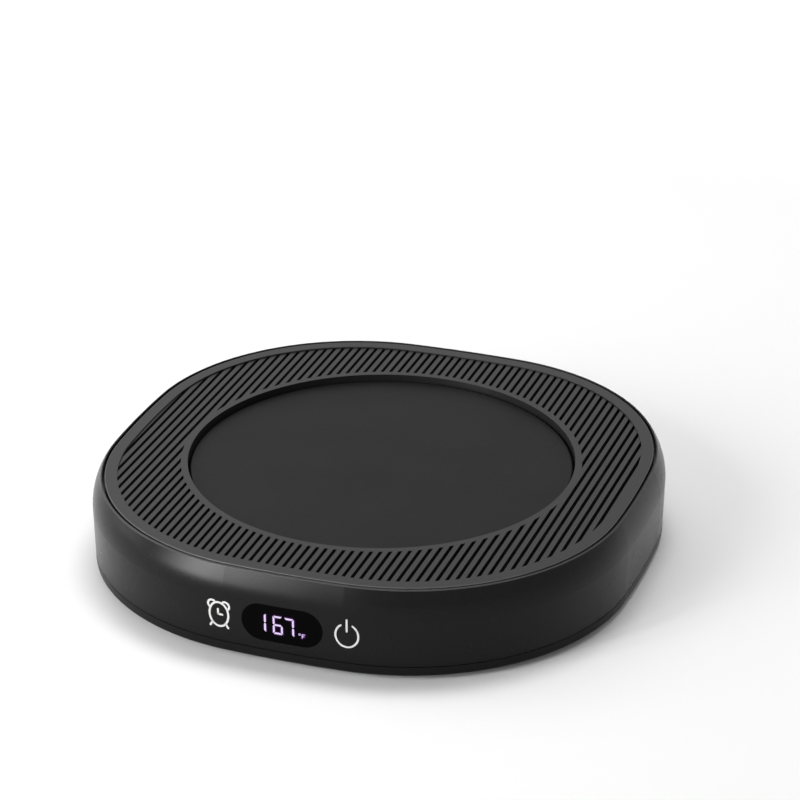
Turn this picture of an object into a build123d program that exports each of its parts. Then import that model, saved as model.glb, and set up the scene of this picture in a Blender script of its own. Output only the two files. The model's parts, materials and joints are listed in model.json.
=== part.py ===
from build123d import *
from math import atan2, cos, degrees, radians, sin, sqrt
import os

# Electric mug warmer, base unit: a rounded-square moulded housing with a slotted deck
# round a sprung hot plate. Millimetres, +Z up, display on the -Y side, and the origin
# on the table under the middle of the base.

# Outline seen from above: four slightly bowed sides joined by tangent corner arcs
HALF_WIDTH = 65.0  # middle of the base to the middle of a side, at its widest
SIDE_RADIUS = 255.0
CORNER_RADIUS = 53.5

# Heights above the table
FOOT_PROUD = 1.0
SPLIT_Z = 3.5  # line between the bottom cover and the housing
WIDEST_Z = 14.7  # the wall leans out up to here, then the shoulder curls in
TOP_Z = 21.8  # border of the deck

# Outer wall
WALL_LEAN = 0.3  # how far the lowest edge lies inside the widest line
WALL_INNER_INSET = 2.6
SPLIT_GAP = 0.2
RIM_INSET = 1.95  # shoulder's end, where the rim's own rounding starts
RIM_GAP_INSET = 2.45  # inner face of the rim
RIM_DROP = 0.25  # how far the shoulder's end lies under the rim's top
COVER_EDGE_ROUND = 0.8

# Slotted deck
PANEL_INSET = 3.0
PANEL_THICKNESS = 2.2
PANEL_Z = TOP_Z - PANEL_THICKNESS
PANEL_EDGE_ROUND = 0.35
FIELD_INSET = 5.96  # outer limit of the slots
RIB_DROP = 0.35  # the ribs lie this far under the border
RIB_Z = TOP_Z - RIB_DROP
SLOT_PITCH = 2.0
SLOT_WIDTH = 0.82
SLOT_INNER_RADIUS = 47.4
RECESS_RADIUS = 45.8  # well round the hot plate
SKIRT_THICKNESS = 1.6
SKIRT_Z = 16.9
SKIRT_DROP = 0.3  # the skirt stops this far under the ribs' tops, where the ring takes over
WEB_RADIUS = 53.0  # ring that ties the ribs together underneath
WEB_THICKNESS = 1.2
WEB_DEPTH = 1.0
STAKE_RADIUS = 1.5
STAKE_HEAD_RADIUS = 2.3
STAKE_HEAD_THICKNESS = 0.8
STAKE_REACH = 53.0
STAKE_PLAY = 0.1

# Splash deck inside the housing, which the slots look down on
LEDGE_INSET = 6.5
LEDGE_LAP = 0.5  # how far the wall's sweep runs into the splash deck
DECK_TOP_Z = 17.8
DECK_Z = 16.6
DECK_HOLE_RADIUS = 47.7

# Hot plate and the stack under it
PLATE_RADIUS = 45.3
PLATE_TOP_Z = 19.85
PLATE_THICKNESS = 1.6
PLATE_Z = PLATE_TOP_Z - PLATE_THICKNESS
PLATE_EDGE_ROUND = 0.4
PLATE_SKIRT_THICKNESS = 1.6
PLATE_SKIRT_Z = 16.2
PLATE_TRAVEL = 0.8
STOP_GAP = 0.05  # left between the plate's skirt and the stops at full travel
ELEMENT_RADIUS = 33.8
ELEMENT_THICKNESS = 1.0
ELEMENT_Z = PLATE_Z - ELEMENT_THICKNESS
TERMINAL_X = 6.0
TERMINAL_Y = 22.0
TERMINAL_SIZE = (2.4, 0.6)
TERMINAL_Z = 13.9
PAD_HOLE_PLAY = 0.4  # round the terminals, where they pass the pad
BACKING_HOLE_PLAY = 0.8
PAD_THICKNESS = 1.5
PAD_Z = ELEMENT_Z - PAD_THICKNESS
BACKING_RADIUS = 34.3
BACKING_THICKNESS = 0.8
BACKING_Z = PAD_Z - BACKING_THICKNESS
CLAMP_SCREW_REACH = 30.5
CLAMP_BOSS_RADIUS = 2.6
CLAMP_BOSS_PLAY = 0.3
CLAMP_SCREW_ANGLES = (30, 150, 270)
BLIND_DEPTH = 0.3  # screw holes reach this far into the plate
THERMISTOR = (1.3, 6.0, 12.0, -4.0)  # radius, length, x and y
THERMAL_FUSE = (1.6, 10.0, -13.0, -4.0)
CAPSULE_TAPER = 0.4  # of the radius
STRAP_THICKNESS = 0.4
STRAP_WIDTH = 2.0
STRAP_EAR = 2.2

# Guide pins with their springs and clips
PIN_REACH = 38.0
PIN_ANGLES = (90, 210, 330)
PIN_RADIUS = 2.0
PIN_CLEARANCE = 0.05
PIN_BOSS_RADIUS = 3.8
PIN_BOSS_Z = 16.1
PIN_TOP_Z = 17.7
PIN_END_Z = 7.6
PIN_CHAMFER = 0.3
CLIP_THICKNESS = 0.6
CLIP_GAP = 0.02
CLIP_OUTER_RADIUS = 3.4
CLIP_MOUTH = 2.2
GROOVE_RADIUS = 1.5
SPRING_RADIUS = 2.8  # middle of the wire
SPRING_WIRE = 0.6
SPRING_TURNS = 4

# Heater tray, which carries and stops the plate
TRAY_Z = 8.7
TRAY_FLOOR = 1.4
TRAY_FLOOR_TOP = TRAY_Z + TRAY_FLOOR
TRAY_RADIUS = 48.0
TRAY_WALL = 1.6
FLANGE_RADIUS = 50.0
FLANGE_Z = 15.2
GUIDE_TOP_Z = 11.1
GUIDE_RADIUS = 3.7
TRAY_SCREW_REACH = 24.0
TRAY_SCREW_DEPTH = 4.6  # below the tray
STOP_REACH = 45.4
STOP_SIZE = (6.0, 2.6)
STOP_Z = PLATE_SKIRT_Z - PLATE_TRAVEL - STOP_GAP
LEAD_SLOT = (18.0, 7.0)
LEAD_SLOT_Y = 24.0

# Load switch under the plate
SWITCH_SIZE = (12.8, 5.8, 6.0)
SWITCH_Y = -24.0
SWITCH_Z = 7.9
SWITCH_PLAY = 0.1
POCKET_WALL = 1.2
POCKET_RISE = 2.0  # above the tray's floor
PLUNGER_RADIUS = 1.2
PLUNGER_CLEARANCE = 0.05
PLUNGER_TOP_Z = 14.8
PLUNGER_LENGTH = 3.2
PLUNGER_CHAMFER = 0.3
PLUNGER_SPACE = 1.0  # left under it in the switch

# Bottom cover
COVER_FLOOR = 1.8
COVER_INNER_Z = FOOT_PROUD + COVER_FLOOR
TONGUE_INSET = 2.75
TONGUE_THICKNESS = 1.35
TONGUE_Z = 5.0
FOOT_RADIUS = 6.5
FOOT_SEAT = 0.8
FOOT_REACH = 54.0
FOOT_PLAY = 0.05
FOOT_CHAMFER = 0.4
COVER_SCREW_X = 52.6
COVER_SCREW_Y = 19.2
COVER_BOSS_RADIUS = 4.2
COVER_BOSS_Z = 4.5
HOUSING_BOSS_RADIUS = 3.2
HOUSING_BOSS_Z = 4.6
HOUSING_BOSS_HOLE_Z = 13.0
COVER_SCREW_TIP_Z = 12.0
HEAD_PLAY = 0.3
POST_RADIUS = 3.2
BOARD_POST_RADIUS = 2.8
POST_HOLE_Z = COVER_INNER_Z + 1.0
VENT_WIDTH = 2.0
VENT_LENGTH = 15.0
VENT_PITCH = 4.6
VENT_ROWS = 5
VENT_X = 36.0

# Front display and controls
WINDOW_SIZE = (19.1, 9.1)
WINDOW_Z = 10.4
WINDOW_GAP = 0.05
WINDOW_CUT = 10.0  # depth that is sure to go through the front wall
WINDOW_FLANGE = 0.7  # how far the lens reaches past its opening, behind the wall
WINDOW_FLANGE_THICKNESS = 1.0
KEY_X = 15.1
KEY_Z = 10.3
KEY_PAD_RADIUS = 3.0
KEY_PAD_LENGTH = 5.1
CONTROL_BOARD_Y = -56.5  # its front face
CONTROL_BOARD_SIZE = (46.0, 1.4, 11.2)
CONTROL_BOARD_REAR = CONTROL_BOARD_Y + CONTROL_BOARD_SIZE[1]
CONTROL_BOARD_Z = 4.2
MODULE_SIZE = (17.4, 4.5, 7.6)
MODULE_CHAMFER = 0.3
GUIDE_BLOCK = (4.0, 5.6, 9.0)
GUIDE_BLOCK_PLAY = (0.2, 0.1)
CHIP_SIZE = (7.0, 1.2, 7.0)
CHIP_AT = (-10.0, 6.5)
BUZZER_RADIUS = 4.5
BUZZER_HOLE_RADIUS = 1.0
BUZZER_DEPTH = 3.6
BUZZER_AT = (13.0, 10.2)

# Power board and what stands on it
BOARD_Z = 5.0
BOARD_THICKNESS = 1.6
BOARD_TOP_Z = BOARD_Z + BOARD_THICKNESS
BOARD_INSET = 4.8
BOARD_INNER_RADIUS = 30.0
BOARD_FRONT_Y = 8.0
BOARD_NOTCH = (21.0, 45.5)  # width and front edge of the notch for the cord clamp
BOARD_SCREWS = ((13.7, 37.6), (-13.7, 37.6), (46.0, 12.5), (-46.0, 12.5))
BOSS_PLAY = 0.8
TRANSFORMER_PLACE = (57.0, 43)  # reach and angle
CORE_SIZE = (15.0, 8.0, 9.4)
COIL_SIZE = (9.0, 11.6, 7.6)
COIL_LIFT = 0.9
COIL_ROUND = 1.5
CAN_PLACE = (58.0, 135)
CAN_RADIUS = 4.0
CAN_HEIGHT = 9.4
CAN_CHAMFER = 0.5
FILM_PLACE = (57.2, 148)
FILM_SIZE = (13.0, 5.0, 9.0)
FILM_CHAMFER = 0.5
TERMINAL_BLOCK_AT = (17.6, 51.0)
TERMINAL_BLOCK_SIZE = (10.0, 8.0, 8.5)
WAY_PITCH = 5.0
WAY_SCREW_RADIUS = 1.6
WAY_SCREW_DEPTH = 3.0
WAY_OPENING = 3.0
WAY_LIFT = 1.2
FUSE_CENTRE = (-23.0, 51.0, BOARD_TOP_Z + 3.4)
FUSE_LENGTH = 20.0
FUSE_CAP_RADIUS = 2.6
FUSE_TUBE_RADIUS = 2.3
FUSE_CAP_LENGTH = 5.0
FUSE_CLIP_WALL = 0.5
FUSE_CLIP_WIDTH = 3.2
FUSE_CLIP_MOUTH_HEIGHT = 1.2  # above the fuse's middle
FUSE_CLIP_FOOT = (3.0, 0.8)
RECTIFIER_AT = (31.0, 20.0)
RECTIFIER_SIZE = (8.0, 6.0, 1.9)
TRANSISTOR_AT = (-31.0, 20.0)
TRANSISTOR_SIZE = (6.6, 6.0, 1.9)
TRANSISTOR_TAB = (5.2, 2.4, 0.6)

# Inner leads
RIBBON_SIZE = (9.0, 0.8)
RIBBON_START_Y = 33.5
RIBBON_DIP_Y = (27.0, 22.0)  # it comes down off the board between these
RIBBON_RISE_Y = -49.0
RIBBON_LOW_Z = COVER_INNER_Z + 1.2
RIBBON_END_Z = 8.0
RIBBON_BEND = 1.6
LEAD_RADIUS = 0.9
LEAD_START_Y = 33.5
LEAD_RUN_Z = 7.65
LEAD_BEND = 1.0

# Cord entry at the back
CORD_Z = 10.2
CORD_BORE_RADIUS = 2.9
GLAND_OUTER_Y = 64.4
GLAND_FLANGE = (6.0, 1.2)  # radius and thickness
GLAND_NECK_RADIUS = 4.2
GLAND_COLLAR_RADIUS = 5.2
GLAND_COLLAR_Y = 60.6
GLAND_NOSE_RADIUS = 4.2
GLAND_NOSE_Y = 58.5
CLAMP_Y = 52.0
CLAMP_SIZE = (19.0, 5.0, 4.8)
CLAMP_Z = 9.7
CLAMP_POST_RADIUS = 2.4
CLAMP_GROOVE_RADIUS = 3.0
CLAMP_BAR_SCREW_X = 6.9
CLAMP_SCREW_DEPTH = 4.0
SADDLE_WIDTH = 7.0
GLAND_PLAY = 0.1

# Screws: shank radius, head radius, head height
COVER_SCREW = (1.4, 2.8, 1.4)
SMALL_SCREW = (1.0, 2.1, 1.3)
SCREW_PLAY = 0.06
HEAD_BEVEL = 0.4  # of the head's height
DRIVE_SLOT = 0.6
DRIVE_LENGTH = 1.3  # of the head's radius

BOTTOM = (Align.CENTER, Align.CENTER, Align.MIN)
HANGING = (Align.CENTER, Align.MAX)
SIDE_CENTRE = HALF_WIDTH - SIDE_RADIUS
RADIUS_STEP = SIDE_RADIUS - CORNER_RADIUS
CORNER_CENTRE = (SIDE_CENTRE + sqrt(2 * RADIUS_STEP**2 - SIDE_CENTRE**2)) / 2
SIDE_HALF_ANGLE = degrees(atan2(CORNER_CENTRE, CORNER_CENTRE - SIDE_CENTRE))


# ---------------------------------------------------------------- shared shapes


def outline(inset, z=0.0):
    """The rounded-square outline as a wire, moved inwards by inset."""
    edges = []
    for quarter in range(4):
        turn = Rot(0, 0, 90 * quarter)
        side = CenterArc((SIDE_CENTRE, 0), SIDE_RADIUS - inset, -SIDE_HALF_ANGLE, 2 * SIDE_HALF_ANGLE)
        corner = CenterArc(
            (CORNER_CENTRE, CORNER_CENTRE),
            CORNER_RADIUS - inset,
            SIDE_HALF_ANGLE,
            90 - 2 * SIDE_HALF_ANGLE,
        )
        edges += [turn * side.edge(), turn * corner.edge()]
    return Pos(0, 0, z) * Wire(edges)


def slab(inset, low, high):
    """A flat block with the rounded-square outline."""
    return extrude(Face(outline(inset, low)), high - low)


def carry_round(profile):
    """Sweep an upright cross-section, drawn at the +X side, round the whole outline."""
    to_start = Pos(SIDE_CENTRE, 0, 0) * Rot(0, 0, -SIDE_HALF_ANGLE) * Pos(-SIDE_CENTRE, 0, 0)
    return sweep(to_start * profile, path=outline(0))


def section(points):
    """An upright face at the +X side, through (inset, height) points."""
    return Plane.XZ * make_face(Polyline(*[(HALF_WIDTH - inset, z) for inset, z in points], close=True))


def wall_inset(z):
    """Where the leaning outer wall is at a height below the widest line."""
    return WALL_LEAN * (WIDEST_Z - z) / (WIDEST_Z - FOOT_PROUD)


def disc(radius, low, high, at=(0, 0)):
    """An upright cylinder between two heights."""
    return Pos(at[0], at[1], low) * Cylinder(radius, high - low, align=BOTTOM)


def ring(outer, inner, low, high, at=(0, 0)):
    """An upright tube between two heights."""
    return disc(outer, low, high, at) - disc(inner, low, high, at)


def block(size, at):
    """A box that stands on the point at."""
    return Pos(*at) * Box(*size, align=BOTTOM)


def polar(reach, angle):
    """The point at a distance and an angle from the middle."""
    return (reach * cos(radians(angle)), reach * sin(radians(angle)))


def turned_block(size, reach, angle, z):
    """A box at a polar place, its first side along the wall there."""
    x, y = polar(reach, angle)
    return Pos(x, y, z) * Rot(0, 0, angle + 90) * Box(*size, align=BOTTOM)


def screw(kind, at, seat, tip):
    """A pan-head screw whose head lies under or on the seat height and whose tip is at tip."""
    shank, head, height = kind
    up = tip > seat
    low, high = (seat - height, seat) if up else (seat, seat + height)
    cap = disc(head, low, high, at)
    rim = cap.faces().sort_by(Axis.Z)[0 if up else -1].edges()
    slot = Pos(at[0], at[1], low if up else high) * Box(DRIVE_SLOT, DRIVE_LENGTH * head, height)
    body = chamfer(rim, HEAD_BEVEL * height) + disc(shank, min(seat, tip), max(seat, tip), at)
    return body - slot


def corners(x, y):
    """The four mirror places of a point."""
    return [(i * x, j * y) for i in (-1, 1) for j in (-1, 1)]


# ---------------------------------------------------------------- shells


def housing_section():
    """Cross-section of the wall, its shoulder and rim, and the ledge for the slotted deck."""
    foot = SPLIT_Z + SPLIT_GAP / 2
    outer_foot = (HALF_WIDTH - wall_inset(foot), foot)
    widest = (HALF_WIDTH, WIDEST_Z)
    shoulder_top = (HALF_WIDTH - RIM_INSET, TOP_Z - RIM_DROP)
    rise = shoulder_top[1] - WIDEST_Z
    shoulder_radius = (rise**2 + RIM_INSET**2) / (2 * RIM_INSET)
    rim_top = (HALF_WIDTH - RIM_GAP_INSET, TOP_Z)
    inside = [
        (RIM_GAP_INSET, PANEL_Z),
        (LEDGE_INSET, PANEL_Z),
        (LEDGE_INSET, DECK_TOP_Z),
        (LEDGE_INSET + LEDGE_LAP, DECK_TOP_Z),
        (LEDGE_INSET + LEDGE_LAP, DECK_Z),
        (WALL_INNER_INSET, DECK_Z),
        (WALL_INNER_INSET, foot),
    ]
    shoulder = RadiusArc(widest, shoulder_top, -shoulder_radius)
    lines = [
        Line(outer_foot, widest),
        shoulder,
        TangentArc(shoulder_top, rim_top, tangent=shoulder % 1),
        Polyline(rim_top, *[(HALF_WIDTH - inset, z) for inset, z in inside], outer_foot),
    ]
    return Plane.XZ * make_face(lines)


def window_prism(grow):
    """The stadium shape of the display window, pushed through the front wall."""
    plane = Plane(origin=(0, -HALF_WIDTH - 1, WINDOW_Z), x_dir=(1, 0, 0), z_dir=(0, -1, 0))
    return extrude(plane * SlotOverall(WINDOW_SIZE[0] + 2 * grow, WINDOW_SIZE[1] + 2 * grow), -WINDOW_CUT)


def cord_cylinder(radius, inner_y, outer_y):
    """A cylinder on the axis of the cord entry."""
    plane = Plane(origin=(0, inner_y, CORD_Z), x_dir=(1, 0, 0), z_dir=(0, 1, 0))
    return extrude(plane * Circle(radius), outer_y - inner_y)


def upper_housing():
    body = carry_round(housing_section())
    body += slab(LEDGE_INSET, DECK_Z, DECK_TOP_Z) - disc(DECK_HOLE_RADIUS, DECK_Z, DECK_TOP_Z)
    for at in corners(COVER_SCREW_X, COVER_SCREW_Y):
        body += disc(HOUSING_BOSS_RADIUS, HOUSING_BOSS_Z, DECK_Z, at)
        body -= disc(COVER_SCREW[0] + SCREW_PLAY, HOUSING_BOSS_Z, HOUSING_BOSS_HOLE_Z, at)
    for angle in range(0, 360, 90):
        body -= disc(STAKE_RADIUS + STAKE_PLAY, DECK_Z, DECK_TOP_Z, polar(STAKE_REACH, angle))
    body -= window_prism(WINDOW_GAP)
    body -= cord_cylinder(GLAND_NECK_RADIUS + GLAND_PLAY, GLAND_NOSE_Y, HALF_WIDTH)
    body -= cord_cylinder(GLAND_FLANGE[0] + GLAND_PLAY, GLAND_OUTER_Y - GLAND_FLANGE[1], HALF_WIDTH)
    return body


def field_edge(x):
    """How far the slots' outer limit reaches along Y at a place along X."""
    side_radius = SIDE_RADIUS - FIELD_INSET
    if abs(x) < side_radius * sin(radians(SIDE_HALF_ANGLE)):
        return SIDE_CENTRE + sqrt(side_radius**2 - x**2)
    return CORNER_CENTRE + sqrt((CORNER_RADIUS - FIELD_INSET) ** 2 - (abs(x) - CORNER_CENTRE) ** 2)


def slot_openings():
    """The slots: parallel strips that end at the field's outline and at the inner ring."""
    count = int((HALF_WIDTH - FIELD_INSET - SLOT_WIDTH / 2) / SLOT_PITCH)
    strips = []
    for i in range(-count, count + 1):
        left = i * SLOT_PITCH - SLOT_WIDTH / 2
        right = left + SLOT_WIDTH
        outer = [(left, field_edge(left)), (right, field_edge(right))]
        if max(-left, right) < SLOT_INNER_RADIUS:
            inner = [(x, sqrt(SLOT_INNER_RADIUS**2 - x**2)) for x in (right, left)]
            for side in (-1, 1):
                strips.append([(x, side * y) for x, y in outer + inner])
        else:
            strips.append(outer + [(right, -field_edge(right)), (left, -field_edge(left))])
    faces = [make_face(Polyline(*strip, close=True)) for strip in strips]
    return extrude(Pos(0, 0, PANEL_Z) * (Sketch() + faces), PANEL_THICKNESS)


def top_panel():
    body = slab(PANEL_INSET, PANEL_Z, TOP_Z)
    body = fillet(body.faces().sort_by(Axis.Z)[-1].edges(), PANEL_EDGE_ROUND)
    body -= slab(FIELD_INSET, RIB_Z, TOP_Z)
    body -= slot_openings()
    body -= disc(RECESS_RADIUS, PANEL_Z, TOP_Z)
    body += ring(RECESS_RADIUS + SKIRT_THICKNESS, RECESS_RADIUS, SKIRT_Z, RIB_Z - SKIRT_DROP)
    body += ring(WEB_RADIUS + WEB_THICKNESS / 2, WEB_RADIUS - WEB_THICKNESS / 2, PANEL_Z - WEB_DEPTH, PANEL_Z)
    for angle in range(0, 360, 90):
        at = polar(STAKE_REACH, angle)
        body += disc(STAKE_RADIUS, DECK_Z, PANEL_Z, at)
        body += disc(STAKE_HEAD_RADIUS, DECK_Z - STAKE_HEAD_THICKNESS, DECK_Z, at)
    return body


def cover_shell():
    """The cover's tray: floor, leaning edge with a rounded lower corner, and the tongue."""
    top = SPLIT_Z - SPLIT_GAP / 2
    edge = section(
        [
            (wall_inset(FOOT_PROUD), FOOT_PROUD),
            (wall_inset(top), top),
            (TONGUE_INSET, top),
            (TONGUE_INSET, TONGUE_Z),
            (TONGUE_INSET + TONGUE_THICKNESS, TONGUE_Z),
            (TONGUE_INSET + TONGUE_THICKNESS, FOOT_PROUD),
        ]
    )
    lowest = edge.vertices().sort_by(Axis.Z)[:2].sort_by(Axis.X)[-1]
    edge = fillet(lowest, COVER_EDGE_ROUND)
    return carry_round(edge) + slab(TONGUE_INSET + TONGUE_THICKNESS, FOOT_PROUD, COVER_INNER_Z)


def vent_slots():
    """Two groups of vents in the cover's floor."""
    slots = []
    for side in (-1, 1):
        for row in range(VENT_ROWS):
            y = (row - (VENT_ROWS - 1) / 2) * VENT_PITCH
            slots.append(Pos(side * VENT_X, y, FOOT_PROUD) * SlotOverall(VENT_LENGTH, VENT_WIDTH))
    return extrude(Sketch() + slots, COVER_FLOOR)


def bottom_cover():
    body = cover_shell()
    body -= vent_slots()
    for at in corners(COVER_SCREW_X, COVER_SCREW_Y):
        body += disc(COVER_BOSS_RADIUS, COVER_INNER_Z, COVER_BOSS_Z, at)
        body -= disc(COVER_SCREW[0] + SCREW_PLAY, FOOT_PROUD, COVER_BOSS_Z, at)
        body -= disc(COVER_SCREW[1] + HEAD_PLAY, FOOT_PROUD, COVER_INNER_Z, at)
    for angle in range(45, 360, 90):
        body -= disc(FOOT_RADIUS + FOOT_PLAY, FOOT_PROUD, FOOT_PROUD + FOOT_SEAT, polar(FOOT_REACH, angle))
        body += screw_post(POST_RADIUS, TRAY_Z, polar(TRAY_SCREW_REACH, angle))
    for at in BOARD_SCREWS:
        body += screw_post(BOARD_POST_RADIUS, BOARD_Z, at)
    saddle = (SADDLE_WIDTH, CLAMP_SIZE[1], CORD_Z - CLAMP_GROOVE_RADIUS - COVER_INNER_Z)
    body += block(saddle, (0, CLAMP_Y, COVER_INNER_Z))
    width, depth, height = CONTROL_BOARD_SIZE
    board_middle = CONTROL_BOARD_Y + depth / 2
    for side in (-1, 1):
        body += screw_post(CLAMP_POST_RADIUS, CLAMP_Z, (side * CLAMP_BAR_SCREW_X, CLAMP_Y))
        body += block(GUIDE_BLOCK, (side * width / 2, board_middle, COVER_INNER_Z))
    board_space = (width + GUIDE_BLOCK_PLAY[0], depth + GUIDE_BLOCK_PLAY[1], height)
    return body - block(board_space, (0, board_middle, CONTROL_BOARD_Z))


def screw_post(radius, top, at):
    """A post on the cover's floor with a hole for a small screw."""
    return disc(radius, COVER_INNER_Z, top, at) - disc(SMALL_SCREW[0] + SCREW_PLAY, POST_HOLE_Z, top, at)


def rubber_feet():
    feet = []
    for angle in range(45, 360, 90):
        foot = disc(FOOT_RADIUS, 0, FOOT_PROUD + FOOT_SEAT, polar(FOOT_REACH, angle))
        feet.append(chamfer(foot.faces().sort_by(Axis.Z)[0].edges(), FOOT_CHAMFER))
    return Compound(children=feet)


def cover_screws():
    places = corners(COVER_SCREW_X, COVER_SCREW_Y)
    return Compound(children=[screw(COVER_SCREW, at, COVER_INNER_Z, COVER_SCREW_TIP_Z) for at in places])


# ---------------------------------------------------------------- hot plate stack


def heating_plate():
    body = disc(PLATE_RADIUS, PLATE_Z, PLATE_TOP_Z)
    body = fillet(body.faces().sort_by(Axis.Z)[-1].edges(), PLATE_EDGE_ROUND)
    body += ring(PLATE_RADIUS, PLATE_RADIUS - PLATE_SKIRT_THICKNESS, PLATE_SKIRT_Z, PLATE_Z)
    for angle in PIN_ANGLES:
        at = polar(PIN_REACH, angle)
        body += disc(PIN_BOSS_RADIUS, PIN_BOSS_Z, PLATE_Z, at)
        body -= disc(PIN_RADIUS, PIN_BOSS_Z, PIN_TOP_Z, at)
    for angle in CLAMP_SCREW_ANGLES:
        at = polar(CLAMP_SCREW_REACH, angle)
        body += disc(CLAMP_BOSS_RADIUS, PAD_Z, PLATE_Z, at)
        body -= disc(SMALL_SCREW[0] + SCREW_PLAY, PAD_Z, PLATE_Z + BLIND_DEPTH, at)
    return body


def terminal_tabs(grow, low, high):
    """The heater's two flat terminals, or the holes for them."""
    size = (TERMINAL_SIZE[0] + 2 * grow, TERMINAL_SIZE[1] + 2 * grow, high - low)
    return [block(size, (side * TERMINAL_X, TERMINAL_Y, low)) for side in (-1, 1)]


def clamp_boss_holes(low, high):
    """The holes that the plate's three screw bosses pass through."""
    return [
        disc(CLAMP_BOSS_RADIUS + CLAMP_BOSS_PLAY, low, high, polar(CLAMP_SCREW_REACH, angle))
        for angle in CLAMP_SCREW_ANGLES
    ]


def heater_element():
    body = disc(ELEMENT_RADIUS, ELEMENT_Z, PLATE_Z) - clamp_boss_holes(ELEMENT_Z, PLATE_Z)
    return body + terminal_tabs(0, TERMINAL_Z, ELEMENT_Z)


def insulation_pad():
    body = disc(ELEMENT_RADIUS, PAD_Z, ELEMENT_Z) - clamp_boss_holes(PAD_Z, ELEMENT_Z)
    return body - terminal_tabs(PAD_HOLE_PLAY, PAD_Z, ELEMENT_Z)


def backing_plate():
    body = disc(BACKING_RADIUS, BACKING_Z, PAD_Z) - terminal_tabs(BACKING_HOLE_PLAY, BACKING_Z, PAD_Z)
    for angle in CLAMP_SCREW_ANGLES:
        body -= disc(SMALL_SCREW[0] + SCREW_PLAY, BACKING_Z, PAD_Z, polar(CLAMP_SCREW_REACH, angle))
    return body


def clamp_screws():
    screws = []
    for angle in CLAMP_SCREW_ANGLES:
        screws.append(screw(SMALL_SCREW, polar(CLAMP_SCREW_REACH, angle), BACKING_Z, PLATE_Z))
    return Compound(children=screws)


def lying_capsule(radius, length, x, y):
    """A small device with tapered ends that lies along X with its top at the backing plate."""
    body = Pos(x, y, BACKING_Z - radius) * Rot(0, 90, 0) * Cylinder(radius, length)
    return chamfer(body.edges().filter_by(GeomType.CIRCLE), CAPSULE_TAPER * radius)


def thermistor():
    return lying_capsule(*THERMISTOR)


def thermal_fuse():
    return lying_capsule(*THERMAL_FUSE)


def sensor_straps():
    """Two bent straps that hold the sensor and the fuse against the backing plate."""
    straps = []
    for radius, _, x, y in (THERMISTOR, THERMAL_FUSE):
        outer = radius + STRAP_THICKNESS
        bend = Rectangle(2 * outer, radius, align=HANGING) + Pos(0, -radius) * Circle(outer)
        strap = Rectangle(2 * (outer + STRAP_EAR), STRAP_THICKNESS, align=HANGING) + bend
        strap &= Rectangle(2 * (outer + STRAP_EAR), 3 * outer, align=HANGING)
        strap -= Rectangle(2 * radius, radius, align=HANGING) + Pos(0, -radius) * Circle(radius)
        plane = Plane(origin=(x - STRAP_WIDTH / 2, y, BACKING_Z), x_dir=(0, 1, 0), z_dir=(1, 0, 0))
        straps.append(extrude(plane * strap, STRAP_WIDTH))
    return Compound(children=straps)


def guide_pins():
    pins = []
    clip_top = TRAY_Z - CLIP_GAP
    for angle in PIN_ANGLES:
        at = polar(PIN_REACH, angle)
        pin = disc(PIN_RADIUS, PIN_END_Z, PIN_TOP_Z, at)
        pin = chamfer(pin.faces().sort_by(Axis.Z)[0].edges(), PIN_CHAMFER)
        pins.append(pin - ring(PIN_RADIUS + 1, GROOVE_RADIUS, clip_top - CLIP_THICKNESS, clip_top, at))
    return Compound(children=pins)


def retaining_clips():
    clips = []
    clip_top = TRAY_Z - CLIP_GAP
    for angle in PIN_ANGLES:
        x, y = polar(PIN_REACH, angle)
        clip = Circle(CLIP_OUTER_RADIUS) - Circle(GROOVE_RADIUS)
        clip -= Rot(0, 0, angle) * Pos(CLIP_OUTER_RADIUS, 0) * Rectangle(2 * CLIP_OUTER_RADIUS, CLIP_MOUTH)
        clips.append(extrude(Pos(x, y, clip_top - CLIP_THICKNESS) * clip, CLIP_THICKNESS))
    return Compound(children=clips)


def plate_springs():
    """Three compression springs round the guide pins."""
    rise = PIN_BOSS_Z - GUIDE_TOP_Z - SPRING_WIRE
    coil = Helix(pitch=rise / SPRING_TURNS, height=rise, radius=SPRING_RADIUS)
    start = Plane(origin=(SPRING_RADIUS, 0, 0), x_dir=(1, 0, 0), z_dir=(0, 1, 0))
    spring = sweep(start * Rectangle(SPRING_WIRE, SPRING_WIRE), path=coil, is_frenet=True)
    low = GUIDE_TOP_Z + SPRING_WIRE / 2
    return Compound(children=[Pos(*polar(PIN_REACH, angle), low) * spring for angle in PIN_ANGLES])


# ---------------------------------------------------------------- tray and switch


def tray_section():
    """Half section of the tray: floor, upright wall and the flange under the splash deck."""
    inner = TRAY_RADIUS - TRAY_WALL
    return Plane.XZ * make_face(
        Polyline(
            (0, TRAY_Z),
            (TRAY_RADIUS, TRAY_Z),
            (TRAY_RADIUS, FLANGE_Z),
            (FLANGE_RADIUS, FLANGE_Z),
            (FLANGE_RADIUS, DECK_Z),
            (inner, DECK_Z),
            (inner, TRAY_FLOOR_TOP),
            (0, TRAY_FLOOR_TOP),
            close=True,
        )
    )


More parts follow.
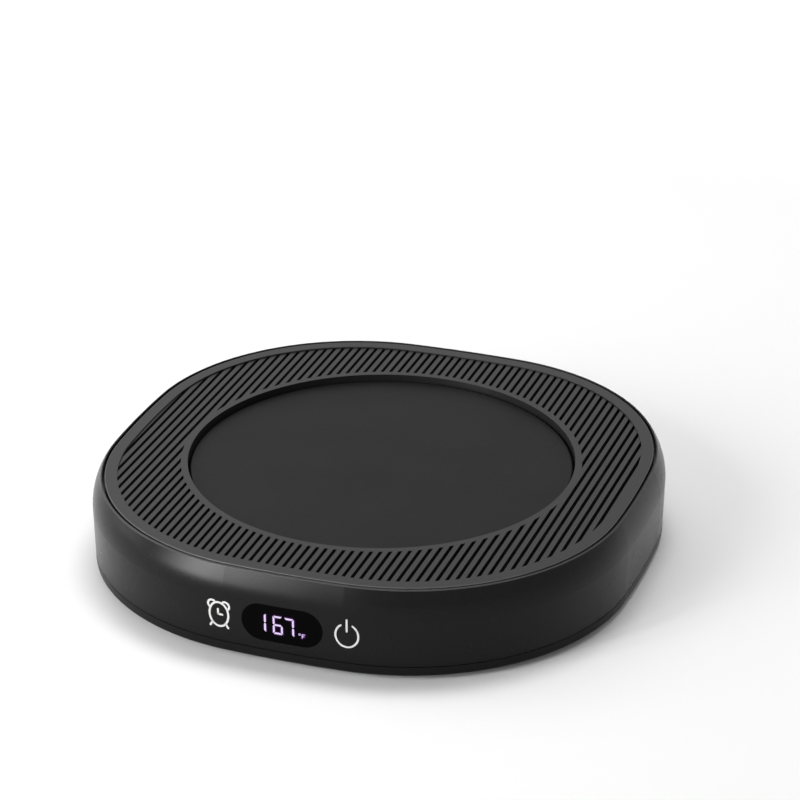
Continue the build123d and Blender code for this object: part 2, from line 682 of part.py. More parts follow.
def heater_tray():
    body = revolve(tray_section(), Axis.Z)
    for angle in PIN_ANGLES:
        at = polar(PIN_REACH, angle)
        body += disc(GUIDE_RADIUS, TRAY_Z, GUIDE_TOP_Z, at)
        body -= disc(PIN_RADIUS + PIN_CLEARANCE, TRAY_Z, GUIDE_TOP_Z, at)
        body += turned_block((*STOP_SIZE, STOP_Z - TRAY_Z), STOP_REACH, angle + 60, TRAY_Z)
    for angle in range(45, 360, 90):
        body -= disc(SMALL_SCREW[0] + SCREW_PLAY, TRAY_Z, TRAY_FLOOR_TOP, polar(TRAY_SCREW_REACH, angle))
    length, depth, height = SWITCH_SIZE
    pocket_z = SWITCH_Z - POCKET_WALL
    pocket_height = TRAY_FLOOR_TOP + POCKET_RISE - pocket_z
    body += block((length + 2 * POCKET_WALL, depth + 2 * POCKET_WALL, pocket_height), (0, SWITCH_Y, pocket_z))
    body -= block((length + SWITCH_PLAY, depth + SWITCH_PLAY, height), (0, SWITCH_Y, SWITCH_Z))
    return body - block((*LEAD_SLOT, TRAY_FLOOR), (0, LEAD_SLOT_Y, TRAY_Z))


def tray_screws():
    screws = []
    for angle in range(45, 360, 90):
        at = polar(TRAY_SCREW_REACH, angle)
        screws.append(screw(SMALL_SCREW, at, TRAY_FLOOR_TOP, TRAY_Z - TRAY_SCREW_DEPTH))
    return Compound(children=screws)


def switch_body():
    top = SWITCH_Z + SWITCH_SIZE[2]
    low = PLUNGER_TOP_Z - PLUNGER_LENGTH - PLUNGER_SPACE
    bore = disc(PLUNGER_RADIUS + PLUNGER_CLEARANCE, low, top, (0, SWITCH_Y))
    return block(SWITCH_SIZE, (0, SWITCH_Y, SWITCH_Z)) - bore


def switch_plunger():
    button = disc(PLUNGER_RADIUS, PLUNGER_TOP_Z - PLUNGER_LENGTH, PLUNGER_TOP_Z, (0, SWITCH_Y))
    return chamfer(button.faces().sort_by(Axis.Z)[-1].edges(), PLUNGER_CHAMFER)


# ---------------------------------------------------------------- front controls


def display_window():
    """Lens with a flange behind the wall; its face follows the wall."""
    low = WINDOW_Z - WINDOW_SIZE[1]
    high = WINDOW_Z + WINDOW_SIZE[1]
    inner = WALL_INNER_INSET
    rear = inner + WINDOW_FLANGE_THICKNESS
    front = section([(wall_inset(low), low), (0, WIDEST_Z), (0, high), (inner, high), (inner, low)])
    flange = section([(inner, low), (inner, high), (rear, high), (rear, low)])
    lens = carry_round(front) & window_prism(0)
    return lens + (carry_round(flange) & window_prism(WINDOW_FLANGE))


def display_module():
    width, depth, height = MODULE_SIZE
    body = block((width, depth, height), (0, CONTROL_BOARD_Y - depth / 2, WINDOW_Z - height / 2))
    return chamfer(body.faces().sort_by(Axis.Y)[0].edges(), MODULE_CHAMFER)


def touch_contacts():
    """Springy conductive pads between the control board and the back of the wall."""
    pads = []
    for side in (-1, 1):
        plane = Plane(origin=(side * KEY_X, CONTROL_BOARD_Y, KEY_Z), x_dir=(1, 0, 0), z_dir=(0, -1, 0))
        pads.append(extrude(plane * Circle(KEY_PAD_RADIUS), KEY_PAD_LENGTH))
    return Compound(children=pads)


def control_board():
    return block(CONTROL_BOARD_SIZE, (0, CONTROL_BOARD_Y + CONTROL_BOARD_SIZE[1] / 2, CONTROL_BOARD_Z))


def controller_chip():
    x, z = CHIP_AT
    return block(CHIP_SIZE, (x, CONTROL_BOARD_REAR + CHIP_SIZE[1] / 2, z))


def buzzer():
    x, z = BUZZER_AT
    plane = Plane(origin=(x, CONTROL_BOARD_REAR, z), x_dir=(1, 0, 0), z_dir=(0, 1, 0))
    return extrude(plane * (Circle(BUZZER_RADIUS) - Circle(BUZZER_HOLE_RADIUS)), BUZZER_DEPTH)


# ---------------------------------------------------------------- power board


def power_board():
    board = Face(outline(BOARD_INSET, BOARD_Z)) - Pos(0, 0, BOARD_Z) * Circle(BOARD_INNER_RADIUS)
    board -= Pos(0, BOARD_FRONT_Y - HALF_WIDTH, BOARD_Z) * Rectangle(2 * HALF_WIDTH, 2 * HALF_WIDTH)
    notch_width, notch_y = BOARD_NOTCH
    board -= Pos(0, notch_y + HALF_WIDTH / 2, BOARD_Z) * Rectangle(notch_width, HALF_WIDTH)
    for side in (-1, 1):
        board -= Pos(side * COVER_SCREW_X, COVER_SCREW_Y, BOARD_Z) * Circle(HOUSING_BOSS_RADIUS + BOSS_PLAY)
    for x, y in BOARD_SCREWS:
        board -= Pos(x, y, BOARD_Z) * Circle(SMALL_SCREW[0] + SCREW_PLAY)
    return extrude(board, BOARD_THICKNESS)


def board_screws():
    return Compound(children=[screw(SMALL_SCREW, at, BOARD_TOP_Z, POST_HOLE_Z) for at in BOARD_SCREWS])


def transformer():
    core = turned_block(CORE_SIZE, *TRANSFORMER_PLACE, BOARD_TOP_Z)
    coil = turned_block(COIL_SIZE, *TRANSFORMER_PLACE, BOARD_TOP_Z + COIL_LIFT)
    return core + fillet(coil.edges().filter_by(Axis.Z), COIL_ROUND)


def electrolytic_capacitor():
    can = disc(CAN_RADIUS, BOARD_TOP_Z, BOARD_TOP_Z + CAN_HEIGHT, polar(*CAN_PLACE))
    return chamfer(can.edges().filter_by(GeomType.CIRCLE), CAN_CHAMFER)


def film_capacitor():
    body = turned_block(FILM_SIZE, *FILM_PLACE, BOARD_TOP_Z)
    return chamfer(body.faces().sort_by(Axis.Z)[-1].edges(), FILM_CHAMFER)


def terminal_block():
    """Two-way screw terminal: a screw well on top and a wire opening in the rear of each way."""
    x, y = TERMINAL_BLOCK_AT
    top = BOARD_TOP_Z + TERMINAL_BLOCK_SIZE[2]
    rear = y + (TERMINAL_BLOCK_SIZE[1] - WAY_OPENING) / 2
    body = block(TERMINAL_BLOCK_SIZE, (x, y, BOARD_TOP_Z))
    for way_x in (x - WAY_PITCH / 2, x + WAY_PITCH / 2):
        body -= disc(WAY_SCREW_RADIUS, top - WAY_SCREW_DEPTH, top, (way_x, y))
        body -= block((WAY_OPENING, WAY_OPENING, WAY_OPENING), (way_x, rear, BOARD_TOP_Z + WAY_LIFT))
    return body


def glass_fuse():
    tube = Rot(0, 90, 0) * Cylinder(FUSE_TUBE_RADIUS, FUSE_LENGTH)
    for side in (-1, 1):
        cap = Rot(0, 90, 0) * Cylinder(FUSE_CAP_RADIUS, FUSE_CAP_LENGTH)
        tube += Pos(side * (FUSE_LENGTH - FUSE_CAP_LENGTH) / 2, 0, 0) * cap
    return Pos(*FUSE_CENTRE) * tube


def fuse_clips():
    """A spring clip for each cap, open at the top and standing on a foot."""
    outer = FUSE_CAP_RADIUS + FUSE_CLIP_WALL
    clip = Circle(outer) - Circle(FUSE_CAP_RADIUS)
    clip -= Pos(0, FUSE_CLIP_MOUTH_HEIGHT + outer) * Rectangle(2 * outer, 2 * outer)
    x, y, z = FUSE_CENTRE
    foot_width, foot_height = FUSE_CLIP_FOOT
    clip += Pos(0, BOARD_TOP_Z - z + foot_height / 2) * Rectangle(foot_width, foot_height)
    clips = []
    for side in (-1, 1):
        start = x + side * (FUSE_LENGTH - FUSE_CAP_LENGTH) / 2 - FUSE_CLIP_WIDTH / 2
        plane = Plane(origin=(start, y, z), x_dir=(0, 1, 0), z_dir=(1, 0, 0))
        clips.append(extrude(plane * clip, FUSE_CLIP_WIDTH))
    return Compound(children=clips)


def bridge_rectifier():
    return block(RECTIFIER_SIZE, (*RECTIFIER_AT, BOARD_TOP_Z))


def switching_transistor():
    x, y = TRANSISTOR_AT
    tab_y = y + (TRANSISTOR_SIZE[1] + TRANSISTOR_TAB[1]) / 2
    return block(TRANSISTOR_SIZE, (x, y, BOARD_TOP_Z)) + block(TRANSISTOR_TAB, (x, tab_y, BOARD_TOP_Z))


# ---------------------------------------------------------------- inner leads


def ribbon_cable():
    """Flat lead from the power board, under the tray, to the back of the control board."""
    width, thickness = RIBBON_SIZE
    high = BOARD_TOP_Z + thickness / 2
    route = (
        (RIBBON_START_Y, high),
        (RIBBON_DIP_Y[0], high),
        (RIBBON_DIP_Y[1], RIBBON_LOW_Z),
        (RIBBON_RISE_Y, RIBBON_LOW_Z),
        (RIBBON_RISE_Y, RIBBON_END_Z),
        (CONTROL_BOARD_REAR, RIBBON_END_Z),
    )
    path = FilletPolyline(*[(0, y, z) for y, z in route], radius=RIBBON_BEND)
    strip = Plane(origin=path @ 0, x_dir=(1, 0, 0), z_dir=path % 0) * Rectangle(width, thickness)
    return sweep(strip, path=path)


def heater_leads():
    """Two insulated leads from the power board up through the tray to the heater's terminals."""
    route = (
        (LEAD_START_Y, BOARD_TOP_Z),
        (LEAD_START_Y, LEAD_RUN_Z),
        (TERMINAL_Y, LEAD_RUN_Z),
        (TERMINAL_Y, TERMINAL_Z),
    )
    leads = []
    for side in (-1, 1):
        path = FilletPolyline(*[(side * TERMINAL_X, y, z) for y, z in route], radius=LEAD_BEND)
        leads.append(sweep(Plane(origin=path @ 0, z_dir=path % 0) * Circle(LEAD_RADIUS), path=path))
    return Compound(children=leads)


# ---------------------------------------------------------------- cord entry


def cord_gland():
    flange_radius, flange_thickness = GLAND_FLANGE
    neck_outer = GLAND_OUTER_Y - flange_thickness
    neck_inner = HALF_WIDTH - WALL_INNER_INSET - GLAND_PLAY
    body = cord_cylinder(flange_radius, neck_outer, GLAND_OUTER_Y)
    body += cord_cylinder(GLAND_NECK_RADIUS, neck_inner, neck_outer)
    body += cord_cylinder(GLAND_COLLAR_RADIUS, GLAND_COLLAR_Y, neck_inner)
    body += cord_cylinder(GLAND_NOSE_RADIUS, GLAND_NOSE_Y, GLAND_COLLAR_Y)
    return body - cord_cylinder(CORD_BORE_RADIUS, GLAND_NOSE_Y, GLAND_OUTER_Y)


def cord_clamp():
    bar = block(CLAMP_SIZE, (0, CLAMP_Y, CLAMP_Z))
    bar -= cord_cylinder(CLAMP_GROOVE_RADIUS, CLAMP_Y - CLAMP_SIZE[1], CLAMP_Y + CLAMP_SIZE[1])
    for side in (-1, 1):
        at = (side * CLAMP_BAR_SCREW_X, CLAMP_Y)
        bar -= disc(SMALL_SCREW[0] + SCREW_PLAY, CLAMP_Z, CLAMP_Z + CLAMP_SIZE[2], at)
    return bar


def clamp_bar_screws():
    seat = CLAMP_Z + CLAMP_SIZE[2]
    places = [(side * CLAMP_BAR_SCREW_X, CLAMP_Y) for side in (-1, 1)]
    return Compound(children=[screw(SMALL_SCREW, at, seat, CLAMP_Z - CLAMP_SCREW_DEPTH) for at in places])


PIECES = (
    upper_housing,
    top_panel,
    bottom_cover,
    rubber_feet,
    cover_screws,
    heating_plate,
    heater_element,
    insulation_pad,
    backing_plate,
    clamp_screws,
    thermistor,
    thermal_fuse,
    sensor_straps,
    guide_pins,
    retaining_clips,
    plate_springs,
    heater_tray,
    tray_screws,
    switch_body,
    switch_plunger,
    display_window,
    display_module,
    touch_contacts,
    control_board,
    controller_chip,
    buzzer,
    power_board,
    board_screws,
    transformer,
    electrolytic_capacitor,
    film_capacitor,
    terminal_block,
    glass_fuse,
    fuse_clips,
    bridge_rectifier,
    switching_transistor,
    ribbon_cable,
    heater_leads,
    cord_gland,
    cord_clamp,
    clamp_bar_screws,
)

os.makedirs("parts", exist_ok=True)
for piece in PIECES:
    export_step(piece(), f"parts/{piece.__name__}.step")
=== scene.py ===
import json
import math

import bmesh
import bpy
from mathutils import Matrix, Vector

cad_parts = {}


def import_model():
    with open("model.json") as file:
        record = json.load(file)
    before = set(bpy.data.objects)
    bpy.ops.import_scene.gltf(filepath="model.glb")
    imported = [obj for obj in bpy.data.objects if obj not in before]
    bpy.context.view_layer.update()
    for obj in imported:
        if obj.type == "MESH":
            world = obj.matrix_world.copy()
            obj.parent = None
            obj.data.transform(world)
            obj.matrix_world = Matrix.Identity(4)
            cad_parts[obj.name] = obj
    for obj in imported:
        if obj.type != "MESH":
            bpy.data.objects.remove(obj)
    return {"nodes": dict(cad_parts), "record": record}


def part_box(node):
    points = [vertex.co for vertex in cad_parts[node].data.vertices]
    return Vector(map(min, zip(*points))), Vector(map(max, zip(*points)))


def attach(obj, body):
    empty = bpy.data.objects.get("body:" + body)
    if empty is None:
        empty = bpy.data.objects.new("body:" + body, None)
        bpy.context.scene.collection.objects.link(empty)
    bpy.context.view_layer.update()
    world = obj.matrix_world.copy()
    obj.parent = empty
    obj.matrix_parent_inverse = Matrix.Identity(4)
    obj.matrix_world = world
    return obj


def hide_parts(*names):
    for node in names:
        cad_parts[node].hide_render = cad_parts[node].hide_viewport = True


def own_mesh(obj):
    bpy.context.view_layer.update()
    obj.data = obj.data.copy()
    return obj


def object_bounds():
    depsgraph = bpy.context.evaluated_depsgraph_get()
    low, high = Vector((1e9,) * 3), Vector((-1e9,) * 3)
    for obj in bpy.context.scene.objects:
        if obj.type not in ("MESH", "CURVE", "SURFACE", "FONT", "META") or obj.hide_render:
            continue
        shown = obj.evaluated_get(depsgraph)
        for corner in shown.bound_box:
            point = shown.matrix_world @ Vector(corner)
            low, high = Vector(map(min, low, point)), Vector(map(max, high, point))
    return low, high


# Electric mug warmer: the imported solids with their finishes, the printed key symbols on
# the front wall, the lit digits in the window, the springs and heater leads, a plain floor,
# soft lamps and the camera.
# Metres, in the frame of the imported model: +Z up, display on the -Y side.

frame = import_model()
cad_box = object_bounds()
NODES = frame["nodes"]
MM = 0.001

# Prints and lit segments follow the face that carries them
INK_PROUD = 0.03 * MM
INK_DEPTH = 0.06 * MM  # how far the back lies inside the face, out of sight
RAY_START = 20 * MM  # how far in front of the object the face is looked for

# Alarm clock symbol
CLOCK_STROKE = 0.49 * MM
CLOCK_CENTRE = (-15.12 * MM, 10.23 * MM)
CLOCK_RADII = (2.32 * MM, 3.03 * MM)
BELL_CENTRE = (1.56 * MM, 2.29 * MM)
BELL_RADIUS = 1.04 * MM
BELL_START = -50
BELL_SWEEP = 170
FOOT_TOP = (1.65 * MM, -2.2 * MM)
FOOT_TIP = (2.2 * MM, -3.16 * MM)
HAND_CORNER = (-0.2 * MM, 0.03 * MM)
HAND_UP = 1.22 * MM
HAND_ACROSS = 1.04 * MM

# Power symbol
POWER_STROKE = 0.44 * MM
POWER_CENTRE = (15.13 * MM, 10.5 * MM)
POWER_RADII = (2.6 * MM, 2.92 * MM)
POWER_GAP = 31  # half of the ring's opening, in degrees
STEM = (1.05 * MM, 3.95 * MM)  # lower and upper end above the ring's middle

# Lit digits: each seven-segment figure with its left and right uprights and its lower and
# upper rows
DIGITS = (
    ("1", -5.9 * MM, -3.95 * MM, 8.2 * MM, 12.6 * MM),
    ("6", -1.86 * MM, 0.04 * MM, 8.2 * MM, 12.37 * MM),
    ("7", 0.74 * MM, 2.7 * MM, 8.12 * MM, 12.3 * MM),
)
SEGMENTS = {"1": "bc", "6": "acdefg", "7": "abc"}
SEGMENT_WIDTH = 0.42 * MM
SEGMENT_GAP = 0.07 * MM
TIP_SHARE = 0.12  # how wide a pointed end stays, of the segment's width
CORNER_SHARE = 0.2  # how far a corner's outer edge passes the middle line, of half the width
DIGIT_PROUD = 0.02 * MM
DISPLAY_LAYERS = (  # name, growth on each side, colour and strength
    ("display_haze", 0.42 * MM, (0.7, 0.12, 1.0), 0.012),
    ("display_glow", 0.14 * MM, (0.5, 0.1, 0.85), 0.26),
    ("display_digits", 0.0, (0.86, 0.74, 1.0), 1.05),
)

# The digits' unit: a degree ring, and a letter with its stem (X, lower and upper end) and
# bars (height and length)
UNIT_WIDTH = 0.15 * MM
DEGREE_STROKE = 0.7 * UNIT_WIDTH
DEGREE_CENTRE = (4.2 * MM, 8.93 * MM)
DEGREE_RADIUS = 0.2 * MM
UNIT_STEM = (4.8 * MM, 8.1 * MM, 9.0 * MM)
UNIT_BARS = ((9.0 * MM, 0.6 * MM), (8.52 * MM, 0.42 * MM))

# Painted edge highlights: a paler line of base colour along the top edges stands in for the
# highlight on their rounding; lowest and highest height of the pale line, and its colour
HOUSING_EDGE_HIGHLIGHT = (21.5 * MM, 21.8 * MM, (0.055, 0.055, 0.056))
DECK_EDGE_HIGHLIGHT = (21.6 * MM, 21.79 * MM, (0.1, 0.1, 0.101))

# Springs under the plate: three open coils of round wire
SPRING_REACH = 38.0 * MM  # from the base's middle to a spring's
SPRING_ANGLES = (90, 210, 330)
SPRING_RADIUS = 2.8 * MM
SPRING_WIRE = 0.3 * MM  # radius of the wire
SPRING_TURNS = 4

# Insulated leads from the power board up to the heater: their X, and the route in Y and Z
LEAD_X = (-6.0 * MM, 6.0 * MM)
LEAD_RADIUS = 0.9 * MM
LEAD_ROUTE = (
    (33.5 * MM, 6.6 * MM),
    (33.5 * MM, 7.65 * MM),
    (22.0 * MM, 7.65 * MM),
    (22.0 * MM, 13.9 * MM),
)
LEAD_BEVEL = 4  # steps that round a lead off

# Smoked lens: its anti-glare face reflects little
LENS_GLOSS = 0.025
LENS_COLOUR = (0.0006, 0.0006, 0.0009)

# Softboxes round the object: azimuth from the front, elevation, distance, size and radiance
LAMPS = {
    "side": (-84, 19, 1.0, (0.4, 0.8), 1.7),
    "far_side": (-125, 20, 1.0, (0.8, 0.8), 0.3),
    "rear_left": (-130, 50, 1.3, (0.8, 0.6), 1.9),
    "overhead": (180, 75, 1.2, (1.0, 0.4), 3.6),
    "rear_right": (125, 40, 1.3, (0.9, 0.6), 0.8),
    "rear_top": (180, 74, 1.2, (0.5, 0.35), 9.2),
}
# The key light is a row of tall strips that fades towards both ends: radiance of each
KEY_ROW = (2.5, 10.1, 14.2, 18.6, 18.4, 12.2, 7.4, 2.8)
KEY_START = -18.5  # azimuth of the first strip, and the step to the next
KEY_STEP = -5.6
KEY_STRIP = (19, 1.0, (0.1, 0.8))  # elevation, distance and size
SHEEN_LAMPS = ("key_0", "key_2", "key_4", "key_6")  # these show in glossy surfaces alone
MATT_LAMPS = ("rear_top",)  # and these light matt surfaces alone

# Pale surroundings, as the camera and reflections see them, and as matt surfaces are lit
SKY = 0.77
SKY_FILL = 0.1

# Floor. The camera and reflections alone see its lift, near and far, which makes it read
# white. The lift starts to grow at the fade's first distance and is full at the second.
FLOOR_REACH = 3.0
FLOOR_COLOUR = 0.78
FLOOR_LIFT = (0.05, 0.8)
FLOOR_FADE = (0.25, 1.0)

# Camera, at the place that the picture was taken from
CAMERA_PLACE = (0.21996, -0.60706, 0.34414)
CAMERA_PITCH = 64.504
CAMERA_YAW = 19.531
CAMERA_LENS = 137.30
SENSOR = 36.0


# ---------------------------------------------------------------- materials


class Finish:
    """A principled material whose colour, roughness and bump come from procedural nodes."""

    def __init__(self, name, roughness=0.5, metallic=0.0, **sockets):
        self.material = bpy.data.materials.new(name)
        self.material.use_nodes = True
        self.nodes = self.material.node_tree.nodes
        self.links = self.material.node_tree.links
        self.shader = self.nodes["Principled BSDF"]
        self.shader.inputs["Roughness"].default_value = roughness
        self.shader.inputs["Metallic"].default_value = metallic
        for socket, value in sockets.items():
            self.shader.inputs[socket.replace("_", " ")].default_value = value
        self.place = self.nodes.new("ShaderNodeTexCoord").outputs["Object"]

    def noise(self, scale, detail=2.0, stretch=None):
        """A noise pattern with this many waves a metre."""
        vector = self.place
        if stretch:
            mapping = self.nodes.new("ShaderNodeMapping")
            mapping.inputs["Scale"].default_value = stretch
            self.links.new(vector, mapping.inputs["Vector"])
            vector = mapping.outputs["Vector"]
        texture = self.nodes.new("ShaderNodeTexNoise")
        texture.inputs["Scale"].default_value = scale
        texture.inputs["Detail"].default_value = detail
        self.links.new(vector, texture.inputs["Vector"])
        return texture.outputs["Fac"]

    def grain(self, scale):
        """A fine cell pattern, as a spark-eroded mould leaves it."""
        texture = self.nodes.new("ShaderNodeTexVoronoi")
        texture.inputs["Scale"].default_value = scale
        self.links.new(self.place, texture.inputs["Vector"])
        return texture.outputs["Distance"]

    def ramp(self, value, stops):
        """Colours along a value: (position, colour) stops."""
        node = self.nodes.new("ShaderNodeValToRGB")
        elements = node.color_ramp.elements
        while len(elements) < len(stops):
            elements.new(0.5)
        for element, (position, colour) in zip(elements, stops):
            element.position = position
            element.color = (*colour, 1.0)
        self.links.new(value, node.inputs["Fac"])
        return node.outputs["Color"]

    def colour(self, base, value, spread=0.12):
        """Base colour that wanders a little with a pattern."""
        dark = tuple(c * (1 - spread) for c in base)
        pale = tuple(c * (1 + spread) for c in base)
        shade = self.ramp(value, [(0.3, dark), (0.7, pale)])
        self.links.new(shade, self.shader.inputs["Base Color"])

    def painted_edge_highlight(self, base, low, high, pale):
        """Base colour with a paler line between two heights, where the form's edge runs: a painted
        highlight along the edge.
        """
        split = self.nodes.new("ShaderNodeSeparateXYZ")
        self.links.new(self.place, split.inputs["Vector"])
        height = self.nodes.new("ShaderNodeMapRange")
        height.inputs["From Min"].default_value = low
        height.inputs["From Max"].default_value = high
        self.links.new(split.outputs["Z"], height.inputs["Value"])
        stops = [(0.0, base), (0.3, pale), (0.7, pale), (1.0, base)]
        shade = self.ramp(height.outputs["Result"], stops)
        self.links.new(shade, self.shader.inputs["Base Color"])

    def roughness(self, value, low, high):
        """Roughness that runs between two levels with a pattern."""
        node = self.nodes.new("ShaderNodeMapRange")
        node.inputs["To Min"].default_value = low
        node.inputs["To Max"].default_value = high
        self.links.new(value, node.inputs["Value"])
        self.links.new(node.outputs["Result"], self.shader.inputs["Roughness"])

    def bump(self, value, depth, strength=1.0):
        """Relief of this depth in metres."""
        node = self.nodes.new("ShaderNodeBump")
        node.inputs["Strength"].default_value = strength
        node.inputs["Distance"].default_value = depth
        self.links.new(value, node.inputs["Height"])
        self.links.new(node.outputs["Normal"], self.shader.inputs["Normal"])


def moulded(name, base, low, high, gloss=0.3, grain_scale=4500, depth=0.0015 * MM, edge=None):
    """Moulded plastic with a fine mould grain and, where an edge is given, a painted highlight: a
    paler line of base colour along the top edge.
    """
    finish = Finish(name, Specular_IOR_Level=gloss)
    # the edge's paler line paints the highlight of the rounded edge into the base colour
    if edge:
        finish.painted_edge_highlight(base, *edge)
    else:
        finish.colour(base, finish.noise(45), spread=0.08)
    finish.roughness(finish.noise(160, detail=4), low, high)
    finish.bump(finish.grain(grain_scale), depth, strength=0.5)
    return finish.material


def rubber(name, base):
    finish = Finish(name)
    finish.colour(base, finish.noise(300, detail=4), spread=0.2)
    finish.roughness(finish.noise(500), 0.62, 0.8)
    finish.bump(finish.noise(2500), 0.02 * MM)
    return finish.material


def metal(name, base, low, high, scratch=(1, 12, 1)):
    """Plated or drawn metal with a fine grain, which scratch stretches."""
    finish = Finish(name, metallic=1.0)
    finish.colour(base, finish.noise(120), spread=0.1)
    pattern = finish.noise(900, detail=3, stretch=scratch)
    finish.roughness(pattern, low, high)
    finish.bump(pattern, 0.003 * MM)
    return finish.material


def board_mask(name, base):
    """Solder mask with its slight orange peel."""
    finish = Finish(name, IOR=1.5)
    finish.colour(base, finish.noise(220), spread=0.25)
    finish.roughness(finish.noise(700), 0.22, 0.36)
    finish.bump(finish.noise(1500), 0.01 * MM)
    return finish.material


def fibre(name, base):
    """Felt or mica: a soft broken surface."""
    finish = Finish(name)
    pattern = finish.noise(1800, detail=6)
    finish.colour(base, pattern, spread=0.25)
    finish.roughness(pattern, 0.8, 0.95)
    finish.bump(pattern, 0.05 * MM)
    return finish.material


def glass(name):
    finish = Finish(name, Transmission_Weight=0.85, IOR=1.5)
    finish.colour((0.85, 0.88, 0.86), finish.noise(80), spread=0.05)
    finish.roughness(finish.noise(400), 0.02, 0.08)
    return finish.material


def hot_plate_coating(name):
    """Black satin coating with a fine sprayed texture."""
    finish = Finish(name, Specular_IOR_Level=0.08)
    finish.colour((0.007, 0.007, 0.0074), finish.noise(60), spread=0.15)
    finish.roughness(finish.noise(700, detail=5), 0.36, 0.46)
    finish.bump(finish.noise(4200, detail=2), 0.006 * MM)
    return finish.material


def window_gloss(name):
    """Polished smoked lens with an anti-glare face."""
    finish = Finish(name, Specular_IOR_Level=LENS_GLOSS)
    finish.colour(LENS_COLOUR, finish.noise(50), spread=0.2)
    finish.roughness(finish.noise(300), 0.07, 0.12)
    return finish.material


def ink(name):
    """White screen print."""
    finish = Finish(name)
    finish.colour((0.65, 0.65, 0.64), finish.noise(900, detail=4), spread=0.03)
    finish.roughness(finish.noise(1400), 0.45, 0.6)
    finish.bump(finish.noise(5000), 0.004 * MM)
    return finish.material


def lit(name, colour, strength):
    """Light from the display's segments, a little uneven along them."""
    finish = Finish(name, roughness=0.4, Specular_IOR_Level=LENS_GLOSS)
    pattern = finish.noise(700)
    finish.colour(LENS_COLOUR, pattern)
    glow = finish.ramp(pattern, [(0.2, tuple(c * 0.9 for c in colour)), (0.8, colour)])
    finish.links.new(glow, finish.shader.inputs["Emission Color"])
    finish.shader.inputs["Emission Strength"].default_value = strength
    return finish.material


def slot_finishes():
    """A procedural material for each material slot of the record."""
    # the housing and the deck carry a painted highlight along their top edges
    return {
        "housing_black": moulded(
            "housing_plastic", (0.0035, 0.0035, 0.0037), 0.25, 0.29, gloss=0.16, edge=HOUSING_EDGE_HIGHLIGHT
        ),
        "deck_black": moulded(
            "deck_plastic", (0.014, 0.014, 0.0145), 0.32, 0.38, gloss=0.26, edge=DECK_EDGE_HIGHLIGHT
        ),
        "cover_black": moulded("cover_plastic", (0.006, 0.006, 0.0063), 0.3, 0.36, gloss=0.12),
        "foot_rubber": rubber("foot_rubber", (0.02, 0.02, 0.02)),
        "gland_rubber": rubber("gland_rubber", (0.014, 0.014, 0.014)),
        "zinc_steel": metal("zinc_steel", (0.6, 0.61, 0.63), 0.28, 0.42),
        "tinned_steel": metal("tinned_steel", (0.68, 0.68, 0.67), 0.22, 0.34, (1, 1, 1)),
        "spring_steel": metal("spring_steel", (0.42, 0.42, 0.43), 0.25, 0.38, (1, 1, 8)),
        "can_aluminium": metal("can_aluminium", (0.6, 0.61, 0.63), 0.2, 0.3, (6, 6, 1)),
        "resin_brown": moulded("resin_brown", (0.09, 0.055, 0.035), 0.4, 0.55),
        "component_black": moulded("component_black", (0.02, 0.02, 0.022), 0.4, 0.55),
        "plate_coating": hot_plate_coating("plate_coating"),
        "window_black": window_gloss("window_gloss"),
        "contact_grey": rubber("contact_grey", (0.2, 0.2, 0.21)),
        "board_green": board_mask("board_green", (0.02, 0.13, 0.06)),
        "transformer_yellow": board_mask("transformer_tape", (0.75, 0.55, 0.08)),
        "film_yellow": board_mask("film_box", (0.8, 0.58, 0.1)),
        "terminal_green": moulded("terminal_green", (0.05, 0.3, 0.12), 0.35, 0.5),
        "fuse_glass": glass("fuse_glass"),
        "ribbon_grey": moulded("ribbon_grey", (0.45, 0.46, 0.48), 0.4, 0.5),
        "lead_red": rubber("lead_red", (0.45, 0.04, 0.03)),
        "mica_sheet": fibre("mica_sheet", (0.55, 0.47, 0.34)),
        "felt_white": fibre("felt_white", (0.8, 0.79, 0.74)),
        "plunger_red": moulded("plunger_red", (0.55, 0.05, 0.04), 0.35, 0.5),
    }


def dress_nodes(finishes):
    """Each node's object gets the finish of its material slot."""
    for part in frame["record"]["subparts"]:
        node = NODES[part["node"]]
        node.data.materials.clear()
        node.data.materials.append(finishes[part["material_slot"]])


# ---------------------------------------------------------------- prints and digits


def on_wall(target, x, z):
    """The point of a node's front face at a place across and up, seen from the front."""
    start = Vector((x, cad_box[0][1] - RAY_START, z))
    hit, place, _, _ = target.ray_cast(start, Vector((0, 1, 0)))
    if not hit:
        raise ValueError(f"nothing of {target.name} lies behind x {x:.5f}, z {z:.5f}")
    return place


def arc(centre, radii, start, sweep, count=48):
    """Points along an ellipse's arc, in degrees from +X towards +Z."""
    points = []
    for i in range(count + 1):
        angle = math.radians(start + sweep * i / count)
        x = centre[0] + radii[0] * math.cos(angle)
        z = centre[1] + radii[1] * math.sin(angle)
        points.append((x, z))
    return points


def straight(a, b, count=12):
    """Points along a straight line."""
    dx, dz = b[0] - a[0], b[1] - a[1]
    return [(a[0] + dx * i / count, a[1] + dz * i / count) for i in range(count + 1)]


def round_ended(line, width, closed=False, cap=6):
    """Left and right edge points of a stroke, with round ends on an open line."""
    half = width / 2
    count = len(line)
    rows = []
    for i in range(count):
        before = line[(i - 1) % count] if closed else line[max(i - 1, 0)]
        after = line[(i + 1) % count] if closed else line[min(i + 1, count - 1)]
        dx, dz = after[0] - before[0], after[1] - before[1]
        length = math.hypot(dx, dz)
        rows.append((line[i], (dx / length, dz / length), 0.0, half))
    if not closed:
        first, last = rows[0], rows[-1]
        for k in range(1, cap + 1):
            angle = math.radians(90 * k / (cap + 0.5))
            reach, side = half * math.sin(angle), half * math.cos(angle)
            rows.insert(0, (first[0], first[1], -reach, side))
            rows.append((last[0], last[1], reach, side))
    edges = []
    for (x, z), (ux, uz), shift, side in rows:
        middle = (x + ux * shift, z + uz * shift)
        left = (middle[0] - uz * side, middle[1] + ux * side)
        right = (middle[0] + uz * side, middle[1] - ux * side)
        edges.append((left, right))
    return edges


